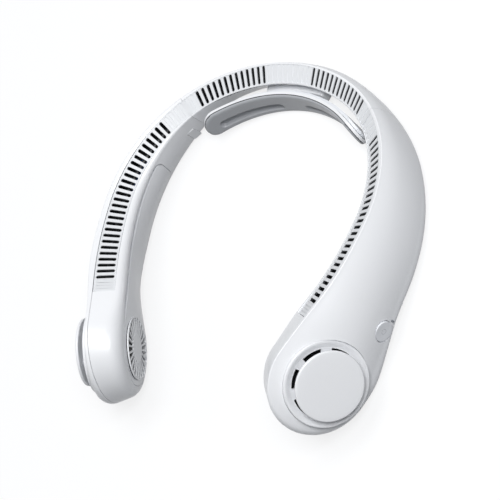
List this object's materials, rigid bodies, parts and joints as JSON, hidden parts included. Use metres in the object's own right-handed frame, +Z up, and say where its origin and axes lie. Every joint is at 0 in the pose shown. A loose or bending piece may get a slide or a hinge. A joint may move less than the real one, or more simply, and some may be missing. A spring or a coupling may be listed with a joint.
{
  "type": "neck fan",
  "caption": "U-shaped electric neck fan with a capped round intake at each arm's end, slotted outlet strips along its rim and a soft neck pad",
  "frame": {"origin": "on the ground, under the middle of the fan as it lies at rest with its rim up", "axes": "+X to the wearer's right arm, the arm with the power button; +Y to the nape; +Z up, out of the rim with the outlet slots"},
  "size_m": [0.1958, 0.186, 0.0542],
  "materials": {
    "white_shell": "glossy white",
    "strip": "satin white",
    "inner_grey": "matt",
    "motor": "satin",
    "brass": "turned",
    "steel": "plated",
    "impeller": "matt",
    "cell": "film wrap",
    "board": "solder mask",
    "socket": "plated",
    "switch": "matt",
    "light": "clear",
    "wire": "matt",
    "pad": "satin silicone",
    "carrier": "matt"
  },
  "bodies": {
    "band": {"rear_outer_shell": "white_shell", "right_outer_shell": "white_shell", "left_outer_shell": "white_shell", "rear_inner_shell": "white_shell", "right_inner_shell": "white_shell", "left_inner_shell": "white_shell", "rear_outlet_strip": "strip", "right_outlet_strip": "strip", "left_outlet_strip": "strip", "right_inner_cover": "white_shell", "left_inner_cover": "white_shell", "right_intake_ring": "white_shell", "left_intake_ring": "white_shell", "right_disc_cap": "white_shell", "left_disc_cap": "white_shell", "cap_screws": "steel", "right_fan_housing": "inner_grey", "left_fan_housing": "inner_grey", "right_motor": "motor", "left_motor": "motor", "right_bearings": "white_shell", "left_bearings": "white_shell", "right_battery": "cell", "left_battery": "cell", "control_board": "board", "usb_socket": "socket", "power_switch": "switch", "light_guide": "light", "right_seam_joiner": "inner_grey", "left_seam_joiner": "inner_grey", "seam_screws": "steel", "screw_plugs": "white_shell", "wiring_harness": "white_shell", "pad_pod": "white_shell", "pad_pin": "steel", "pod_screws": "steel"},
    "right_rotor": {"right_impeller": "impeller", "right_shaft": "steel"},
    "left_rotor": {"left_impeller": "impeller", "left_shaft": "steel"},
    "button": {"power_button": "white_shell"},
    "pad": {"neck_pad": "pad", "pad_carrier": "carrier"}
  },
  "joints": [
    {"name": "right_fan_spin", "type": "hinge", "parent": "band", "child": "right_rotor", "pos_m": [0.07595, -0.06662, 0.02896], "axis": [0.8659, -0.2491, 0.4338], "continuous": true},
    {"name": "left_fan_spin", "type": "hinge", "parent": "band", "child": "left_rotor", "pos_m": [-0.07595, -0.06662, 0.02896], "axis": [-0.8659, -0.2491, 0.4338], "continuous": true},
    {"name": "power_press", "type": "slide", "parent": "band", "child": "button", "axis": [-0.9444, 0.3031, -0.1275], "range_m": [0, 0.0006], "stiffness_N_per_m": 1500},
    {"name": "pad_tilt", "type": "hinge", "parent": "band", "child": "pad", "pos_m": [0, 0.079, 0.00608], "axis": [1, 0, 0], "range_deg": [-4, 4]}
  ]
}
